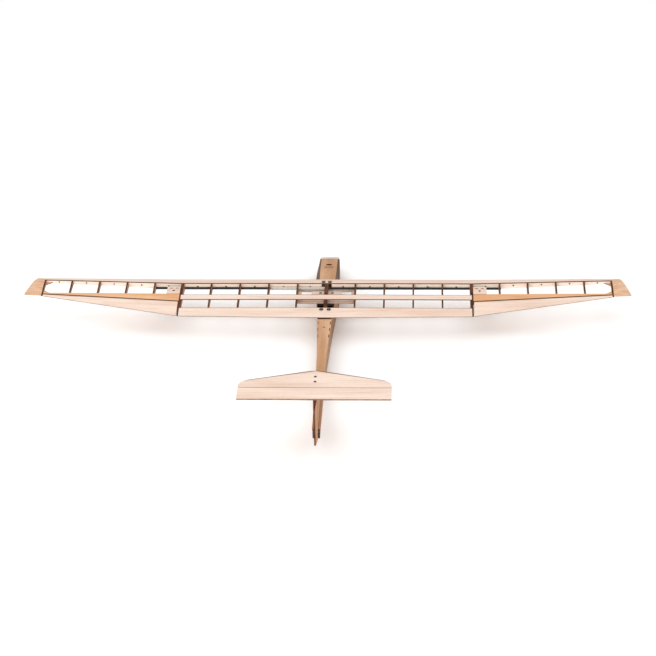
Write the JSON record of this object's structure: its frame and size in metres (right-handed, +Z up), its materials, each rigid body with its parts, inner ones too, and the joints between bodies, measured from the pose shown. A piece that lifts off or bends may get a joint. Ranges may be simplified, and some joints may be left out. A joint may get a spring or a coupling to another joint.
{
  "type": "radio controlled glider",
  "caption": "Uncovered balsa radio controlled T-tail glider with open-rib wing, ailerons, elevator, rudder, slim plywood fuselage and lift-off nose hatch.",
  "frame": {"origin": "middle of the length and width, at the lowest face of the belly", "axes": "+X starboard, +Y towards the nose, +Z up"},
  "size_m": [1.5498, 0.879, 0.171],
  "materials": {
    "balsa": "raw sanded balsa",
    "plywood": "raw light plywood",
    "tan_wood": "raw tan balsa",
    "burnt_wood": "laser-cut wood with burnt edges",
    "carbon": "black carbon fibre",
    "fibre_tube": "pale fibre tube",
    "black_steel": "black oxide",
    "lead": "dull cast lead",
    "nylon": "white nylon",
    "wire": "drawn steel wire",
    "servo_case": "dark blue moulded plastic",
    "battery_wrap": "shrink wrap",
    "receiver_case": "moulded case"
  },
  "bodies": {
    "airframe": {"aileron_servos": "servo_case", "aileron_spars": "tan_wood", "battery": "battery_wrap", "bolt_pads": "plywood", "fin_frame": "balsa", "fin_servo": "servo_case", "fin_skins": "balsa", "formers": "plywood", "front_sheeting": "balsa", "fuselage_bottom": "plywood", "fuselage_deck": "plywood", "fuselage_side_left": "plywood", "fuselage_side_right": "plywood", "hatch_catches": "balsa", "hinge_leaves_fixed": "nylon", "inner_ribs_left": "burnt_wood", "inner_ribs_right": "burnt_wood", "joiner_sleeve": "fibre_tube", "leading_edges": "balsa", "mid_strips": "balsa", "nose_ballast": "lead", "nose_block": "balsa", "outer_ribs_left": "burnt_wood", "outer_ribs_right": "burnt_wood", "receiver": "receiver_case", "root_ribs": "burnt_wood", "rudder_rod_guides": "nylon", "rudder_servo": "servo_case", "rudder_servo_tray": "plywood", "spar_tubes": "carbon", "spar_webs": "balsa", "stabilizer": "balsa", "stabilizer_mount": "plywood", "stabilizer_screws": "black_steel", "tip_gussets": "tan_wood", "trailing_edges": "balsa", "wing_bolt_nuts": "black_steel", "wing_bolts": "black_steel", "wing_plates": "balsa", "wing_seat_plates": "plywood", "wing_tips": "tan_wood"},
    "hatch": {"hatch_lid": "plywood", "hatch_rails": "balsa", "hatch_battens": "balsa"},
    "aileron_right": {"aileron_right": "balsa", "aileron_fittings_right": "nylon"},
    "aileron_servo_arm_right": {"aileron_servo_arm_right": "nylon"},
    "aileron_pushrod_right": {"aileron_pushrod_right": "wire"},
    "aileron_left": {"aileron_left": "balsa", "aileron_fittings_left": "nylon"},
    "aileron_servo_arm_left": {"aileron_servo_arm_left": "nylon"},
    "aileron_pushrod_left": {"aileron_pushrod_left": "wire"},
    "elevator": {"elevator": "balsa", "elevator_fittings": "nylon"},
    "elevator_servo_arm": {"elevator_servo_arm": "nylon"},
    "elevator_pushrod": {"elevator_pushrod": "wire"},
    "rudder": {"rudder": "balsa", "rudder_fittings": "nylon"},
    "rudder_servo_arm": {"rudder_servo_arm": "nylon"},
    "rudder_pushrod": {"rudder_pushrod": "wire"}
  },
  "joints": [
    {"name": "hatch_lift", "type": "slide", "parent": "airframe", "child": "hatch", "axis": [0, 0, 1], "range_m": [0, 0.06]},
    {"name": "aileron_right_hinge", "type": "hinge", "parent": "airframe", "child": "aileron_right", "pos_m": [0.5515, 0.157, 0.07499], "axis": [0.9979, 0.05, 0.0405], "range_deg": [-20, 20]},
    {"name": "aileron_servo_right_turn", "type": "hinge", "parent": "airframe", "child": "aileron_servo_arm_right", "pos_m": [0.39935, 0.20144, 0.07004], "axis": [0.9979, 0.05, 0.0405], "range_deg": [-20, 20]},
    {"name": "aileron_pushrod_right_pivot", "type": "hinge", "parent": "aileron_servo_arm_right", "child": "aileron_pushrod_right", "pos_m": [0.39976, 0.20144, 0.06004], "axis": [0.9979, 0.05, 0.0405], "range_deg": [-20, 20]},
    {"name": "aileron_left_hinge", "type": "hinge", "parent": "airframe", "child": "aileron_left", "pos_m": [-0.5515, 0.157, 0.07499], "axis": [0.9979, -0.05, -0.0405], "range_deg": [-20, 20]},
    {"name": "aileron_servo_left_turn", "type": "hinge", "parent": "airframe", "child": "aileron_servo_arm_left", "pos_m": [-0.39935, 0.20144, 0.07004], "axis": [0.9979, -0.05, -0.0405], "range_deg": [-20, 20]},
    {"name": "aileron_pushrod_left_pivot", "type": "hinge", "parent": "aileron_servo_arm_left", "child": "aileron_pushrod_left", "pos_m": [-0.39976, 0.20144, 0.06004], "axis": [0.9979, -0.05, -0.0405], "range_deg": [-20, 20]},
    {"name": "elevator_hinge", "type": "hinge", "parent": "airframe", "child": "elevator", "pos_m": [0, -0.394, 0.167], "axis": [1, 0, 0], "range_deg": [-20, 20]},
    {"name": "elevator_servo_turn", "type": "hinge", "parent": "airframe", "child": "elevator_servo_arm", "pos_m": [0, -0.336, 0.1544], "axis": [0, 0, 1], "range_deg": [-20, 20]},
    {"name": "elevator_pushrod_slide", "type": "slide", "parent": "airframe", "child": "elevator_pushrod", "axis": [0, 1, 0], "range_m": [-0.003, 0.003]},
    {"name": "rudder_hinge", "type": "hinge", "parent": "airframe", "child": "rudder", "pos_m": [0, -0.391, 0.0383], "axis": [0, 0, 1], "range_deg": [-25, 25]},
    {"name": "rudder_servo_turn", "type": "hinge", "parent": "airframe", "child": "rudder_servo_arm", "pos_m": [0, 0.227, 0.0383], "axis": [0, 0, 1], "range_deg": [-25, 25]},
    {"name": "rudder_pushrod_pivot", "type": "hinge", "parent": "rudder_servo_arm", "child": "rudder_pushrod", "pos_m": [0.005, 0.227, 0.0383], "axis": [0, 0, 1], "range_deg": [-25, 25]}
  ],
  "couplings": [
    {"joint": "aileron_servo_right_turn", "follows": "aileron_right_hinge", "ratio": 1},
    {"joint": "aileron_pushrod_right_pivot", "follows": "aileron_right_hinge", "ratio": -1},
    {"joint": "aileron_servo_left_turn", "follows": "aileron_left_hinge", "ratio": 1},
    {"joint": "aileron_pushrod_left_pivot", "follows": "aileron_left_hinge", "ratio": -1},
    {"joint": "elevator_servo_turn", "follows": "elevator_hinge", "ratio": 1},
    {"joint": "elevator_pushrod_slide", "follows": "elevator_hinge", "m_per_rad": 0.008},
    {"joint": "rudder_servo_turn", "follows": "rudder_hinge", "ratio": 1},
    {"joint": "rudder_pushrod_pivot", "follows": "rudder_hinge", "ratio": -1}
  ]
}
